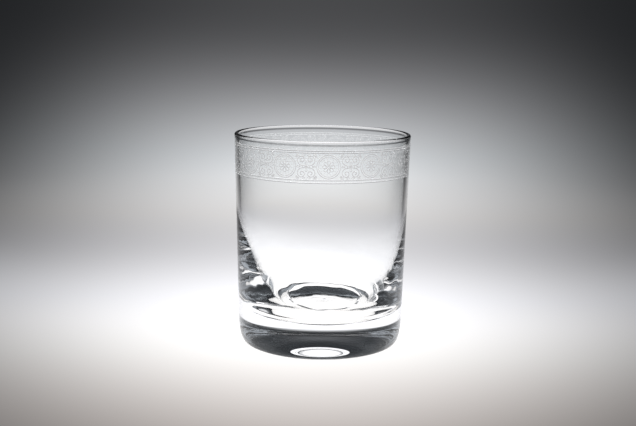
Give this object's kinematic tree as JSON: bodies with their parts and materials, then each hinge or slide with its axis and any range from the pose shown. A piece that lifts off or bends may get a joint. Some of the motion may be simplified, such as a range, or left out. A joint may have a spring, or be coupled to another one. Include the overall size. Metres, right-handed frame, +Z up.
{
  "type": "lowball glass",
  "caption": "Clear lowball tumbler: straight tapered wall, heavy solid base, rounded cavity and a fire-polished rim, for drinks.",
  "frame": {"origin": "centre of the circle the glass stands on, on the table's plane", "axes": "+Z up along the glass's own axis, from the foot to the rim; -Y towards the viewer of the picture"},
  "size_m": [0.085, 0.085, 0.1026],
  "materials": {
    "clear_glass": "clear colourless glass, fire-polished, smooth inside and out",
    "etched_glass": "fine acid-etched line work, matt white, on the outside below the rim"
  },
  "bodies": {
    "root": {"tumbler": "clear_glass"}
  },
  "joints": []
}
